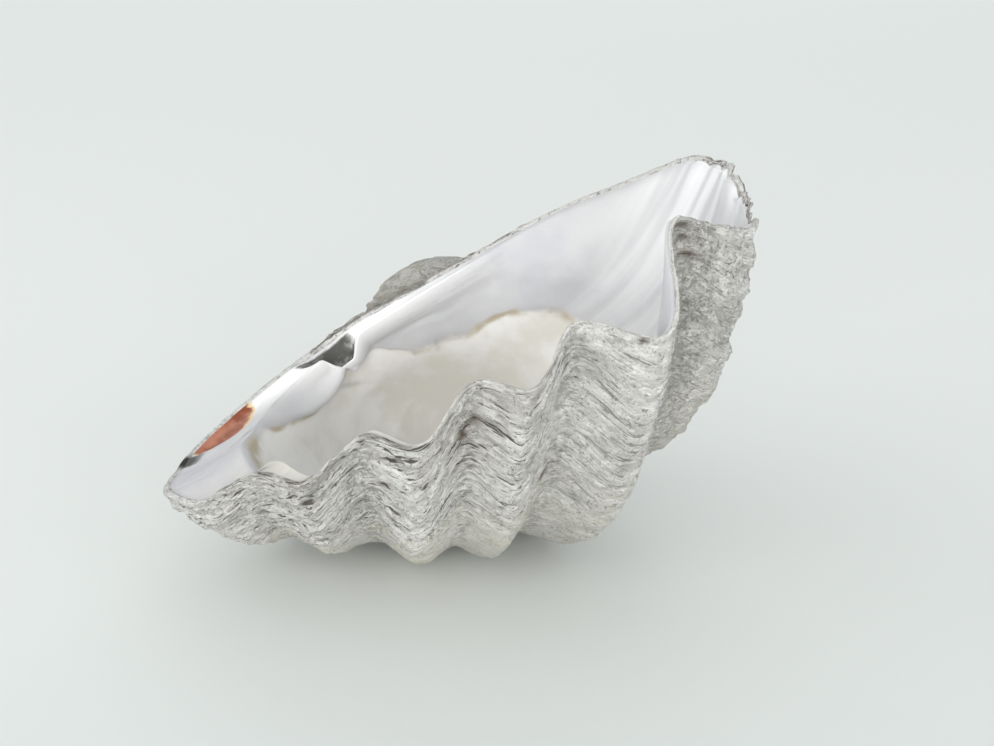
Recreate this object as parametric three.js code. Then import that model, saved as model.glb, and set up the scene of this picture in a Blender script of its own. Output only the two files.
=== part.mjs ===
// One valve of a giant clam, hollow side up, resting on its outside. Millimetres, +Z up.
//
// The valve grows the way a clam does: one closed edge line is shrunk and turned about the hinge
// again and again, and the stack of edge lines is the shell wall. Folds ride on that wall as
// radial ribs, and a second, smaller line swept the same way hollows out the bowl.
import * as THREE from 'three';

// Edge line of the valve in its own plane, hinge point first, then the tall end, the free edge
// and the blunt end. x runs along the hinge, y away from the free edge.
const EDGE = [
  [0, 0], [50, -4], [104, -8], [148, -32], [184, -58], [194, -108], [187, -163], [164, -195],
  [115, -212], [60, -214], [-4, -201], [-60, -164], [-103, -129], [-115, -97], [-106, -60],
  [-74, -28], [-33, -4],
];
// Mouth of the bowl in the same plane: close to the edge line except at the blunt end and the
// hinge, where a thick solid plate is left.
const MOUTH = [
  [2, -20], [52, -15], [104, -15], [144, -37], [178, -62], [188, -108], [181, -160], [160, -189],
  [113, -206], [61, -208], [0, -195], [-48, -160], [-66, -128], [-70, -98], [-62, -66],
  [-42, -40], [-20, -25],
];
// Folds round the edge line: place on the line, how far the wall stands out there, and how far
// the edge itself rises out of its plane.
const FOLDS = [
  [0.23, 0, 0], [0.27, 2, -2], [0.31, -2, 2], [0.345, 2, -2], [0.38, 4, -5], [0.417, -9, 12],
  [0.459, 12, -10], [0.493, -4, 4], [0.526, 7, -4], [0.553, -4, 3], [0.59, 6, -4], [0.621, -4, 3],
  [0.665, 5, -2], [0.705, -3, 2], [0.745, 3, 1], [0.785, 0, 4], [0.83, 0, 0],
];
const RIB_DRIFT = 0.1; // how far the ribs swing round the line for each radian of growth
const DRIFT_END = 0.9; // radian of growth where that swing stops
const DRIFT_FROM = [0.36, 0.5]; // places on the line between which the swing sets in
const DRIFT_TO = [0.66, 0.82]; // places between which it dies out again
const COIL_RATE = 0.52; // shrink of the line for each radian of turn
const COIL_EASE = 0.03; // how much that shrinking slows towards the beak
const COIL_TURN = 3.3; // radians the outside is followed before the beak closes
const BEAK_TURN = 2.2; // radians where the beak starts to close
const BOWL_TURN = 1.9; // radians the bowl is followed before it closes
const BOWL_STRAIGHT = 0.45; // share of the bowl's rows before it draws in
const HINGE_DEPTH = 4; // the point everything shrinks towards, below the edge plane
const HINGE_SWING = 3.6; // degrees the turning line is swung in the edge plane
const HINGE_DIP = -8.4; // degrees the turning line dips at the tall end
const RIM_THICKNESS = 4.5;
const RIM_SHARE = 0.6; // most of the wall that the rim takes where the wall is thin
const LEAST_WALL = 3.2;
const FOLD_FADE = 1.1; // radians of growth over which the folds leave the inside of the bowl
const FOLD_END = [1.2, 2.6]; // radians between which the folds leave the outside
// Fuller places of the wall, below the edge: place on the line, half width, extra size.
const FULLNESS = [[0.785, 0.08, 8], [0.4, 0.06, 4], [0.5, 0.04, 4]];
const FULLNESS_START = 0.08; // radians of growth over which that fullness sets in
const BEAK_LEAN = [1.4, 2.6]; // radians between which the beak leans over
const BEAK_LIFT = 3; // how far the beak stands up over the hinge
const BEAK_SHIFT = 32; // how far the beak leans towards the tall end
const FULLNESS_END = [0.55, 0.7]; // places on the line between which the bowl loses its fullness
const PLATE_SAG = 2; // dip of the flat plate at the blunt end
const SAG_WIDTH = 30; // width of plate that gets the whole dip
const PIT_DEPTH = 12; // depth of the pit in the hinge plate beside the beak
const PIT_SIDES = [[0.935, 0.953], [0.966, 0.988]]; // places on the line where its sides stand
// Where its outer and inner slopes stand: 0 to 1 across the plate, then radians down the bowl.
const PIT_SLOPES = [[0, 0.33], [0.4, 2.7]];
const PITCH = 30.2; // degrees the tall end is raised as the valve rests
const ROLL = 0; // degrees the free edge is lowered
const YAW = 4.4; // degrees the tall end is turned away
const WORN = 2; // depth worn off the rib bottoms it stands on
const AROUND = 128; // facets round the edge line
const OUTSIDE_ROWS = 21;
const BOWL_ROWS = 12;
const PLATE_ROWS = 3;
const ROW_CROWDING = 1.15; // above 1, the outside rows crowd towards the rim
const LAST_ROW = 1.01; // share of the coil where the beak's last row would be a point

const DEGREE = Math.PI / 180;
const HINGE_LINE = new THREE.Vector3(
  Math.cos(HINGE_SWING * DEGREE) * Math.cos(HINGE_DIP * DEGREE),
  Math.sin(HINGE_SWING * DEGREE) * Math.cos(HINGE_DIP * DEGREE),
  Math.sin(HINGE_DIP * DEGREE),
);
const GROWTH_POINT = new THREE.Vector3(0, 0, -HINGE_DEPTH);

function closedLine(points) {
  const corners = points.map(([x, y]) => new THREE.Vector3(x, y, 0));
  const line = new THREE.CatmullRomCurve3(corners, true, 'catmullrom', 0.5);
  line.arcLengthDivisions = 600;
  return line;
}

const edgeLine = closedLine(EDGE);
const mouthLine = closedLine(MOUTH);

function smoothStep(from, to, value) {
  const share = Math.min(1, Math.max(0, (value - from) / (to - from)));
  return share * share * (3 - 2 * share);
}

// Shrinks a point towards the growth point and turns it about the hinge line.
function grow(point, turn) {
  const arm = point.clone().sub(GROWTH_POINT);
  arm.applyAxisAngle(HINGE_LINE, turn);
  const size = Math.exp(turn * (COIL_EASE * turn - COIL_RATE));
  return arm.multiplyScalar(size).add(GROWTH_POINT);
}

// Outward direction of the wall where it meets the edge line.
function wallNormal(line, around) {
  const along = line.getTangentAt(around);
  const arm = line.getPointAt(around).sub(GROWTH_POINT);
  const growth = arm.clone().multiplyScalar(COIL_RATE);
  growth.sub(new THREE.Vector3().crossVectors(HINGE_LINE, arm));
  return growth.cross(along).normalize();
}

// How far the wall stands out (column 1) or the edge rises (column 2) at one place of the line.
function foldSize(around, column) {
  for (let i = 1; i < FOLDS.length; i += 1) {
    const start = FOLDS[i - 1];
    const end = FOLDS[i];
    if (around >= start[0] && around <= end[0]) {
      return start[column] + (end[column] - start[column]) * smoothStep(start[0], end[0], around);
    }
  }
  return 0;
}

// The ribs swing round the line as the valve grows, and the whole wall is followed along them.
function swing(around, turn) {
  const centred = smoothStep(...DRIFT_FROM, around) * (1 - smoothStep(...DRIFT_TO, around));
  return around + RIB_DRIFT * centred * DRIFT_END * (1 - Math.exp(-turn / DRIFT_END));
}

function fullness(around, turn) {
  let size = 0;
  FULLNESS.forEach(([centre, width, most]) => {
    size += most * Math.exp(-(((around - centre) / width) ** 2));
  });
  return size * (1 - Math.exp(-turn / FULLNESS_START));
}

function foldFade(turn) {
  return 1 - smoothStep(...FOLD_END, turn);
}

function outsidePoint(around, turn) {
  const place = swing(around, turn);
  const push = foldSize(around, 1) * foldFade(turn) + fullness(place, turn);
  const start = edgeLine.getPointAt(place).addScaledVector(wallNormal(edgeLine, place), push);
  start.z += foldSize(around, 2) * foldFade(turn);
  const spot = grow(start, turn);
  const lean = smoothStep(...BEAK_LEAN, turn);
  spot.z += BEAK_LIFT * lean;
  spot.x += BEAK_SHIFT * lean;
  return spot;
}

// Depth of the pit at one place of the line and one step across the plate and down the bowl.
function pitDepth(around, inward) {
  const along = smoothStep(...PIT_SIDES[0], around) * (1 - smoothStep(...PIT_SIDES[1], around));
  const across = smoothStep(...PIT_SLOPES[0], inward) * (1 - smoothStep(...PIT_SLOPES[1], inward));
  return PIT_DEPTH * along * across;
}

// The bowl keeps the folds near the rim and loses them further in, but never thins the wall
// below its least thickness.
function bowlPoint(around, turn) {
  const place = swing(around, turn);
  const mouth = mouthLine.getPoint(edgeLine.getUtoTmapping(place));
  const normal = wallNormal(edgeLine, place);
  const wall = edgeLine.getPointAt(place).sub(mouth).dot(normal);
  const kept = Math.exp(-turn / FOLD_FADE);
  const rib = foldSize(around, 1) * foldFade(turn);
  const rise = foldSize(around, 2) * foldFade(turn);
  const full = fullness(place, turn) * (1 - smoothStep(...FULLNESS_END, place));
  mouth.addScaledVector(normal, full + Math.min(rib * kept, rib + wall - LEAST_WALL));
  mouth.z += Math.max(rise * kept, rise);
  const spot = grow(mouth, turn);
  spot.z -= pitDepth(around, 1 + turn);
  return spot;
}

function rimInsidePoint(around) {
  const outer = outsidePoint(around, 0);
  const inward = bowlPoint(around, 0).sub(outer);
  const reach = inward.length();
  return outer.addScaledVector(inward, Math.min(RIM_THICKNESS, reach * RIM_SHARE) / reach);
}

function loopOf(pointAt) {
  const loop = [];
  for (let i = 0; i < AROUND; i += 1) loop.push(pointAt(i / AROUND));
  return loop;
}

function middleOf(loop) {
  const middle = new THREE.Vector3();
  loop.forEach((point) => middle.add(point));
  return middle.divideScalar(loop.length);
}

// Draws a loop in towards its middle: 0 leaves it, 1 makes it a point.
function drawnIn(loop, closing) {
  const middle = middleOf(loop);
  const width = Math.sqrt(1 - closing * closing);
  return loop.map((point) => middle.clone().lerp(point, width));
}

// Rows of the outside, from the closed beak out to the rim.
function outsideLoops() {
  const loops = [];
  for (let row = OUTSIDE_ROWS; row >= 0; row -= 1) {
    const turn = COIL_TURN * ((row / OUTSIDE_ROWS) ** ROW_CROWDING);
    const closing = Math.max(0, (turn - BEAK_TURN) / (COIL_TURN * LAST_ROW - BEAK_TURN));
    loops.push(drawnIn(loopOf((around) => outsidePoint(around, turn)), closing));
  }
  return loops;
}

// Rows across the rim and the flat plate, from the outer edge to the mouth of the bowl.
function plateLoops() {
  const loops = [];
  const rim = loopOf(rimInsidePoint);
  const mouth = loopOf((around) => bowlPoint(around, 0));
  for (let row = 0; row < PLATE_ROWS; row += 1) {
    const share = row / PLATE_ROWS;
    const sag = PLATE_SAG * share * (1 - share) * 4;
    loops.push(rim.map((point, i) => {
      const width = Math.min(1, point.distanceTo(mouth[i]) / SAG_WIDTH);
      const spot = point.clone().lerp(mouth[i], share);
      spot.z -= sag * width + pitDepth(i / AROUND, share) - share * pitDepth(i / AROUND, 1);
      return spot;
    }));
  }
  return loops;
}

// Rows of the bowl, drawn in to a rounded end under the hinge.
function bowlLoops() {
  const loops = [];
  for (let row = 0; row < BOWL_ROWS; row += 1) {
    const share = row / BOWL_ROWS;
    const closing = Math.max(0, (share - BOWL_STRAIGHT) / (1 - BOWL_STRAIGHT));
    loops.push(drawnIn(loopOf((around) => bowlPoint(around, BOWL_TURN * share)), closing));
  }
  return loops;
}

// Skins a run of closed loops and closes both ends with a point.
function skin(loops) {
  const points = loops.flat();
  const first = points.length;
  points.push(middleOf(loops[0]));
  points.push(middleOf(loops[loops.length - 1]));
  const faces = [];
  for (let i = 0; i < AROUND; i += 1) {
    const next = (i + 1) % AROUND;
    faces.push([first, i, next]);
    for (let row = 1; row < loops.length; row += 1) {
      const low = (row - 1) * AROUND;
      const high = row * AROUND;
      faces.push([low + i, high + next, low + next]);
      faces.push([low + i, high + i, high + next]);
    }
    const last = (loops.length - 1) * AROUND;
    faces.push([last + i, first + 1, last + next]);
  }
  return { points, faces };
}

// Turns the valve as it rests, sets it on the floor and wears the lowest ribs flat.
function rest(points) {
  const pose = new THREE.Matrix4().makeRotationZ(YAW * DEGREE);
  pose.multiply(new THREE.Matrix4().makeRotationY(-PITCH * DEGREE));
  pose.multiply(new THREE.Matrix4().makeRotationX(ROLL * DEGREE));
  points.forEach((point) => point.applyMatrix4(pose));
  const box = new THREE.Box3().setFromPoints(points);
  const middle = box.getCenter(new THREE.Vector3());
  points.forEach((point) => {
    point.x -= middle.x;
    point.y -= middle.y;
    point.z = Math.max(0, point.z - box.min.z - WORN);
  });
}

function valveMesh() {
  const { points, faces } = skin([...outsideLoops(), ...plateLoops(), ...bowlLoops()]);
  rest(points);
  const geometry = new THREE.BufferGeometry();
  const numbers = points.flatMap((point) => [point.x, point.y, point.z]);
  geometry.setAttribute('position', new THREE.Float32BufferAttribute(numbers, 3));
  geometry.setIndex(faces.flat());
  geometry.computeVertexNormals();
  const chalk = new THREE.MeshStandardMaterial({ color: 0xd9d7d0, roughness: 0.85, metalness: 0 });
  const mesh = new THREE.Mesh(geometry, chalk);
  mesh.name = 'clam_valve';
  return mesh;
}

const part = new THREE.Group();
part.add(valveMesh());

export default part;
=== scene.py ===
"""One valve of a giant clam, lying on its outside with the bowl up.

The valve is modelled the way it grows: a grid of vertices is rolled round the edge line and
followed back along the coil, with the growth ridges, folds and worn lip in its geometry.
"""

import math

import bmesh
import bpy
import numpy as np
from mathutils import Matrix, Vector, noise


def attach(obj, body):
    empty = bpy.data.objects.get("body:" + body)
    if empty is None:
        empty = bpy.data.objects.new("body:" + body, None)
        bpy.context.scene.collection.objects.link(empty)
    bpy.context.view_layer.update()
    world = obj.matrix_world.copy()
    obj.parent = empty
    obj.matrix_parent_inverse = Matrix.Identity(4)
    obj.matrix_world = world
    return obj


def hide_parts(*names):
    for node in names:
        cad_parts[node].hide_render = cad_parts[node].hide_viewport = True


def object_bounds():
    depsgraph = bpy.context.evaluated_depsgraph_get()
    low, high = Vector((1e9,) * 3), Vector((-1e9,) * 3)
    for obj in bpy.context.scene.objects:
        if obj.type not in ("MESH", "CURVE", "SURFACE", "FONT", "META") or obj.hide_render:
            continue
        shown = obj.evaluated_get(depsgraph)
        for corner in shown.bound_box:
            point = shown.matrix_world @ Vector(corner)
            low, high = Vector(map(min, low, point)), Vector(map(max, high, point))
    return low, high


bl_info = {
    "name": "Giant Clam Valve",
    "version": (1, 0, 0),
    "blender": (4, 5, 0),
    "location": "3D View > Sidebar > Clam",
    "description": "Builds one fluted clam valve and its studio stage",
    "category": "Object",
}

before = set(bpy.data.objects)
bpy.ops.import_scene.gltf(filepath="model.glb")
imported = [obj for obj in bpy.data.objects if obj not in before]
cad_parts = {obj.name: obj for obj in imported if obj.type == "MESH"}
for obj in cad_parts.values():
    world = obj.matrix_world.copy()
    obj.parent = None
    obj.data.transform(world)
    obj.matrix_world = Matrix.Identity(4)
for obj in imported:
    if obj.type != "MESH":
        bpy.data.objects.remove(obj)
CAD_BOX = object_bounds()
CAD_NODE = "clam_valve"
MM = 0.001

# Edge line of the valve in its own plane, in millimetres, from the hinge point round by the tall
# end, the free edge and the blunt end.
EDGE = [
    (0, 0), (50, -4), (104, -8), (148, -32), (184, -58), (194, -108), (187, -163), (164, -195),
    (115, -212), (60, -214), (-4, -201), (-60, -164), (-103, -129), (-115, -97), (-106, -60),
    (-74, -28), (-33, -4),
]
# Mouth of the bowl in the same plane.
MOUTH = [
    (2, -20), (52, -15), (104, -15), (144, -37), (178, -62), (188, -108), (181, -160), (160, -189),
    (113, -206), (61, -208), (0, -195), (-48, -160), (-66, -128), (-70, -98), (-62, -66),
    (-42, -40), (-20, -25),
]
# Place on the line, how far the wall stands out, how far the edge rises out of its plane.
FOLDS = np.array([
    (0.23, 0, 0), (0.27, 2, -2), (0.31, -2, 2), (0.345, 2, -2), (0.38, 4, -5), (0.417, -9, 12),
    (0.459, 12, -10), (0.493, -4, 4), (0.526, 7, -4), (0.553, -4, 3), (0.59, 6, -4),
    (0.621, -4, 3), (0.665, 5, -2), (0.705, -3, 2), (0.745, 3, 1), (0.785, 0, 4), (0.83, 0, 0),
])
FULLNESS = [(0.785, 0.08, 8), (0.4, 0.06, 4), (0.5, 0.04, 4)]
FULLNESS_START = 0.08
RIB_DRIFT = 0.1
DRIFT_END = 0.9
COIL_RATE = 0.52
COIL_EASE = 0.03
COIL_TURN = 3.3
BEAK_TURN = 2.2
BEAK_LIFT = 3
BEAK_SHIFT = 32
PIT_DEPTH = 12
BOWL_TURN = 1.9
BOWL_STRAIGHT = 0.45
GROWTH_POINT = np.array([0, 0, -4.0])
HINGE_SWING = math.radians(3.6)
HINGE_DIP = math.radians(-8.4)
HINGE_LINE = np.array([
    math.cos(HINGE_SWING) * math.cos(HINGE_DIP),
    math.sin(HINGE_SWING) * math.cos(HINGE_DIP),
    math.sin(HINGE_DIP),
])
RIM_THICKNESS = 4.5
LEAST_WALL = 3.2
FOLD_FADE = 1.1
PLATE_SAG = 2
PITCH = math.radians(30.2)
YAW = math.radians(4.4)
# Millimetres worn off the bottoms of the ribs where the valve rests.
WORN = 2.0

# Columns round the edge line and rows along the wall. The outside rows crowd where it shows most:
# share of the rows, radians of growth reached.
COLUMNS = 480
OUTSIDE_ROWS = 150
ROWS_REACH = ((0, 0.42, 0.72, 1), (0, 0.42, 1.25, COIL_TURN))
LIP_ROWS = 6
PLATE_ROWS = 12
BOWL_ROWS = 30

# Length of the edge line over a full turn's circumference, and arm of the coil, in metres. They
# make growth coordinates that have no seam and are true to size at the edge.
GROWTH_RADIUS = 0.143
GROWTH_ARM = 0.2

# Line inside the bowl where the mantle was attached: place on the line, radians below the mouth.
MANTLE_LINE = np.array([
    (0.0, 1.35), (0.022, 1.52), (0.08, 1.5), (0.124, 1.48), (0.142, 1.41), (0.168, 1.22),
    (0.195, 1.15), (0.243, 1.1), (0.3, 0.95), (0.4, 0.75), (0.5, 0.6), (0.6, 0.5), (0.7, 0.25),
    (0.733, 0.11), (0.8, 0.05), (0.835, 0.04), (0.854, 0.3), (0.865, 0.48), (0.894, 0.7),
    (0.923, 0.7), (0.942, 0.55), (0.97, 0.9), (1.0, 1.35),
])
# Single marks: place on the line, radians of growth or share of the plate, and how far they reach.
OUTER_MARKS = [
    (0.55, 0.085, 0.003, 0.014), (0.557, 0.11, 0.003, 0.016), (0.704, 0.17, 0.006, 0.01),
    (0.469, 0.012, 0.002, 0.006), (0.61, 0.14, 0.003, 0.008), (0.5, 0.33, 0.004, 0.012),
    (0.413, 0.022, 0.005, 0.005), (0.414, 0.045, 0.005, 0.005), (0.411, 0.075, 0.005, 0.006),
]
BOWL_MARKS = [(0.077, 1.6, 0.006, 0.03), (0.07, 1.52, 0.004, 0.04), (0.892, 1.2, 0.006, 0.25)]
PLATE_MARKS = [(0.833, 0.86, 0.002, 0.09), (0.828, 0.7, 0.001, 0.05), (0.713, 0.5, 0.008, 0.2)]
# Scar of the ligament on the hinge plate: place on the line, share of the plate it reaches.
LIGAMENT = np.array([
    (0.842, -0.1), (0.849, 0.42), (0.857, 0.6), (0.866, 0.6), (0.878, 0.48), (0.892, 0.32),
    (0.905, -0.1),
])

# Bands along the line: where each one starts, is full, starts to fade and has gone.
DRIFT_BAND = (0.36, 0.5, 0.66, 0.82)
FREE_EDGE_BAND = (0.3, 0.4, 0.78, 0.86)
NEAR_BAND = (0.45, 0.5, 0.7, 0.8)
TALL_BAND = (0.18, 0.25, 0.3, 0.36)
FLUTE_BAND = (0.19, 0.22, 0.28, 0.33)
CHIPPED_BAND = (0.24, 0.27, 0.36, 0.42)
CRUST_BANDS = ((0.49, 0.53, 0.68, 0.75), (0.31, 0.325, 0.365, 0.385), (0.244, 0.25, 0.268, 0.276))
# Spongy chalk comes in over the first stretch and loses a share of itself over each later one.
SPONGY_COMES = (0.16, 0.24)
SPONGY_LOSSES = ((0.2, 0.36, 0.4), (0.35, 0.42, 0.46), (0.45, 0.48, 0.56))
# The plate and bowl are white from the first stretch on round the hinge to the second one's end.
WHITE_COMES = (0.85, 0.92)
WHITE_GOES = (0.0, 0.1)
HINGE_RIDGE_BAND = (0.845, 0.87, 0.945, 0.965)
TIP_BAND = (0.826, 0.832, 0.84, 0.846)
PIT_BAND = (0.935, 0.953, 0.966, 0.988)
# Band of the painted shadow in the pit.
PIT_SHADOW_BAND = (0.93, 0.944, 0.974, 0.988)
# Reach of the pit: 0 to 1 is across the plate, and past 1 it is radians of growth down the bowl.
PIT_REACH = (0, 0.33, 0.4, 2.7)

# Shares of the plate over which the pit's painted shadow and the dark tip fade out.
PIT_SHADOW_FADES = (0.58, 0.76)
TIP_FADES = (0.1, 0.25)
# Radians of growth over which crust, hinge white and tall-end white fade to about a third.
CRUST_REACH, WHITE_REACH, TALL_REACH = 0.1, 0.5, 0.9
BOWL_MARK_STRENGTH, PLATE_MARK_STRENGTH = 0.3, 0.7

# Stretches over which something comes in or goes, in radians of growth.
FOLDS_GO = (1.2, 2.6)
BEAK_LEANS = (1.4, 2.6)
EDGE_SOFTENS = (0.0, 0.03)
BASE_SMOOTHS = (0.28, 0.6)
BEAK_WRINKLES_COME = (1.4, 1.9)
WALL_IS_SOLID = (1.9, 2.2)
POLE_SMOOTHS = (2.8, 3.2)
BOWL_ROUNDS = (1.3, 1.65)
BOWL_RELIEF_GOES = (1.3, 1.7)
BOWL_RELIEF_COMES = (0.0, 0.1)

# Noise by name: waves per metre round the line (twice) and along the growth, octaves, shift.
GRAINS = {
    "warp": ((30, 30, 24), 3, 0.0),
    "broken layers": ((60, 60, 120), 2, 5.0),
    "coarse warp": ((12, 12, 14), 3, 9.0),
    "broken coarse layers": ((26, 26, 60), 2, 51.0),
    "lumps": ((42, 42, 46), 4, 61.0),
    "rough": ((150, 150, 170), 4, 2.0),
    "holes": ((110, 110, 300), 2, 17.0),
    "crumbs": ((95, 95, 105), 4, 83.0),
    "wrinkles": ((14, 14, 22), 3, 71.0),
    "chips": ((150, 150, 1), 3, 3.0),
    "bites": ((90, 90, 1), 4, 13.0),
    "flakes": ((130, 130, 500), 3, 21.0),
    "bowl": ((40, 40, 40), 3, 41.0),
}
# Growth layers per metre of growth coordinates, and radians of crease per metre at the beak.
FINE_LAYERS = 270
COARSE_LAYERS = 92
BEAK_CREASES = 190
# Depths of the relief in millimetres.
FINE_DEPTH, FINE_DEPTH_AT_EDGE = 1.0, 0.9
COARSE_DEPTH, COARSE_DEPTH_AT_EDGE = 1.2, 1.6
CRUMB_DEPTH = 2.6
ROUGH_DEPTH = 1.3
LUMP_DEPTH = 2.2
HOLE_DEPTH = 8
BEAK_DEPTH, BEAK_WRINKLE = 2.6, 3.4
RELIEF_MOST = 5.5
MANTLE_STEP = 0.7
BOWL_UNEVENNESS = 0.35
LIGAMENT_GROOVE = 1.6
# Share of the full relief that each millimetre of wall allows, and the least share kept.
RELIEF_PER_WALL = 0.135
LEAST_RELIEF = 0.1
# Share of the room in the frame's box that the layers may fill, less a margin in millimetres.
ROOM_USED, ROOM_MARGIN = 0.6, 0.3
# Radians of growth worn off all round, most chipped off, most bitten off thick and thin edges.
WORN_EDGE, CHIP_MOST, BITE_MOST, THIN_BITE_MOST = 0.006, 0.003, 0.004, 0.035
# Radians of growth over which a chip's dent fades back into the rows, outside and inside.
CHIP_REACH, CHIP_REACH_INSIDE = 0.04, 0.1
# Fine flutes inside the tall end: how many would go all the way round, how deep they reach.
FLUTES_ROUND = (41, 23)
FLUTE_REACH = 0.5
# The hinge ridge sits above the mantle line by this much and is this wide, in radians of growth.
RIDGE_ABOVE_LINE, RIDGE_WIDTH = 0.12, 0.16
# Growth layers arch by this much per millimetre of fold, within this reach of the edge.
LAYER_ARCH, LAYER_ARCH_REACH = 0.007, 0.12
# Layers are deeper within this reach of the edge.
EDGE_REACH = 0.45
# Extra share of columns along the free edge, and steps used to space them.
EXTRA_COLUMNS = 1.6
PLACE_STEPS = 2000
# Waves per row that are left when a row is rounded to an oval.
OVAL_WAVES = 3
# Height in millimetres of a fold whose crest counts as 1.
CREST_SIZE = 10
# Most of the way to the mouth that the lip may take, its growth, and how round its arch is.
LIP_MOST, LIP_GROWTH, LIP_ROUNDNESS = 0.6, 0.02, 0.6
# Width in millimetres from which the plate sags fully.
WIDE_PLATE = 30
# Place on the line over which the fullness of the bowl goes.
BOWL_FULLNESS_GOES = (0.55, 0.7)
# Vertices nearer than this, in metres, are welded.
WELD = 1e-7

# Zones of the valve, in the order of their rows.
OUTSIDE, LIP, PLATE, BOWL = range(4)

# Rows and columns of the frame's own solid, which set where it stands.
SOLID_COLUMNS = 128
SOLID_ROWS = 22
SOLID_CROWDING = 1.15
SOLID_TIP = 1.01


# ---- shape of the valve ---------------------------------------------------------------------


def smooth_step(start, end, value):
    share = np.clip((value - start) / (end - start), 0, 1)
    return share * share * (3 - 2 * share)


def band(places, value):
    """Rises between the first two places and falls between the last two."""
    start, full, fades, gone = places
    return smooth_step(start, full, value) * (1 - smooth_step(fades, gone, value))


class ClosedLine:
    """A smooth closed line through its corners."""

    STEPS = 600

    def __init__(self, corners):
        self.corners = np.array([(x, y, 0) for x, y in corners], float)
        self.steps = np.linspace(0, 1, self.STEPS + 1)
        pieces = np.linalg.norm(np.diff(self.at_step(self.steps), axis=0), axis=1)
        self.shares = np.concatenate([[0], np.cumsum(pieces)]) / pieces.sum()

    def at_step(self, step):
        count = len(self.corners)
        place = np.mod(step, 1) * count
        first = np.floor(place).astype(int)
        t = (place - first)[..., None]
        a, b, c, d = (self.corners[(first + k) % count] for k in (-1, 0, 1, 2))
        curve = (2 * a - 5 * b + 4 * c - d) * t + (3 * b - a - 3 * c + d) * t * t
        return 0.5 * (2 * b + (c - a) * t + curve * t)

    def step_at(self, share):
        return np.interp(np.mod(share, 1), self.shares, self.steps)

    def at(self, share):
        return self.at_step(self.step_at(share))

    def along(self, share):
        step = self.step_at(share)
        ahead = self.at_step(step + 1e-4) - self.at_step(step - 1e-4)
        return ahead / np.linalg.norm(ahead, axis=-1, keepdims=True)


EDGE_LINE = ClosedLine(EDGE)
MOUTH_LINE = ClosedLine(MOUTH)


def turned(arm, turn):
    """Turns arms about the hinge line by their own angles."""
    sine = np.sin(turn)[..., None]
    cosine = np.cos(turn)[..., None]
    level = (arm @ HINGE_LINE)[..., None] * HINGE_LINE
    return arm * cosine + np.cross(HINGE_LINE, arm) * sine + level * (1 - cosine)


def grown(point, turn):
    """Where growth has left a point of the edge: smaller and turned about the hinge line."""
    size = np.exp(turn * (COIL_EASE * turn - COIL_RATE))[..., None]
    return turned(point - GROWTH_POINT, turn) * size + GROWTH_POINT


def wall_normal(around):
    """Way out of the wall at the edge, square to the line and to its growth."""
    arm = EDGE_LINE.at(around) - GROWTH_POINT
    growth = COIL_RATE * arm - np.cross(HINGE_LINE, arm)
    normal = np.cross(growth, EDGE_LINE.along(around))
    return normal / np.linalg.norm(normal, axis=-1, keepdims=True)


def fold_size(around, column):
    """Height of the folds at a place of the line, eased between the crests and grooves."""
    place = np.clip(around, FOLDS[0, 0], FOLDS[-1, 0])
    after = np.clip(np.searchsorted(FOLDS[:, 0], place), 1, len(FOLDS) - 1)
    start, end = FOLDS[after - 1], FOLDS[after]
    share = smooth_step(start[..., 0], end[..., 0], place)
    return start[..., column] + (end[..., column] - start[..., column]) * share


def swing(around, turn):
    """Place on the line that a rib has drifted to after a turn of growth."""
    drift = RIB_DRIFT * band(DRIFT_BAND, around) * DRIFT_END
    return around + drift * (1 - np.exp(-turn / DRIFT_END))


def fullness(around, turn):
    """Millimetres the wall bulges out behind the edge."""
    size = sum(most * np.exp(-(((around - at) / width) ** 2)) for at, width, most in FULLNESS)
    return size * (1 - np.exp(-turn / FULLNESS_START))


def fold_fade(turn):
    """Share of the folds' height left: 1 near the edge, 0 at the beak."""
    return 1 - smooth_step(*FOLDS_GO, turn)


def outside_points(around, turn):
    """Smooth outer wall with its folds, leaning over at the beak."""
    place = swing(around, turn)
    normal = wall_normal(place)
    push = fold_size(around, 1) * fold_fade(turn) + fullness(place, turn)
    start = EDGE_LINE.at(place) + normal * push[..., None]
    start[..., 2] += fold_size(around, 2) * fold_fade(turn)
    spot = grown(start, turn)
    lean = smooth_step(*BEAK_LEANS, turn)
    spot[..., 2] += BEAK_LIFT * lean
    spot[..., 0] += BEAK_SHIFT * lean
    return spot


def bowl_points(around, turn):
    """Smooth inside of the bowl, with its folds fading and the pit sunk into it."""
    place = swing(around, turn)
    normal = wall_normal(place)
    mouth = MOUTH_LINE.at_step(EDGE_LINE.step_at(place))
    wall = ((EDGE_LINE.at(place) - mouth) * normal).sum(-1)
    kept = np.exp(-turn / FOLD_FADE)
    rib = fold_size(around, 1) * fold_fade(turn)
    rise = fold_size(around, 2) * fold_fade(turn)
    full = fullness(place, turn) * (1 - smooth_step(*BOWL_FULLNESS_GOES, place))
    mouth = mouth + normal * (full + np.minimum(rib * kept, rib + wall - LEAST_WALL))[..., None]
    mouth[..., 2] += np.maximum(rise * kept, rise)
    spots = grown(mouth, turn)
    spots[..., 2] -= pit_depth(around, 1 + turn)
    return spots


def pit_depth(around, inward):
    """Depth of the pit beside the beak, stepping across the plate and then down the bowl."""
    return PIT_DEPTH * band(PIT_BAND, around) * band(PIT_REACH, inward)


def drawn_in(points, closing):
    """Draws each row in towards its middle: 0 leaves it, 1 makes it a point."""
    middle = points.mean(axis=1, keepdims=True)
    width = np.sqrt(1 - closing * closing)[:, None, None]
    return middle + (points - middle) * width


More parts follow.
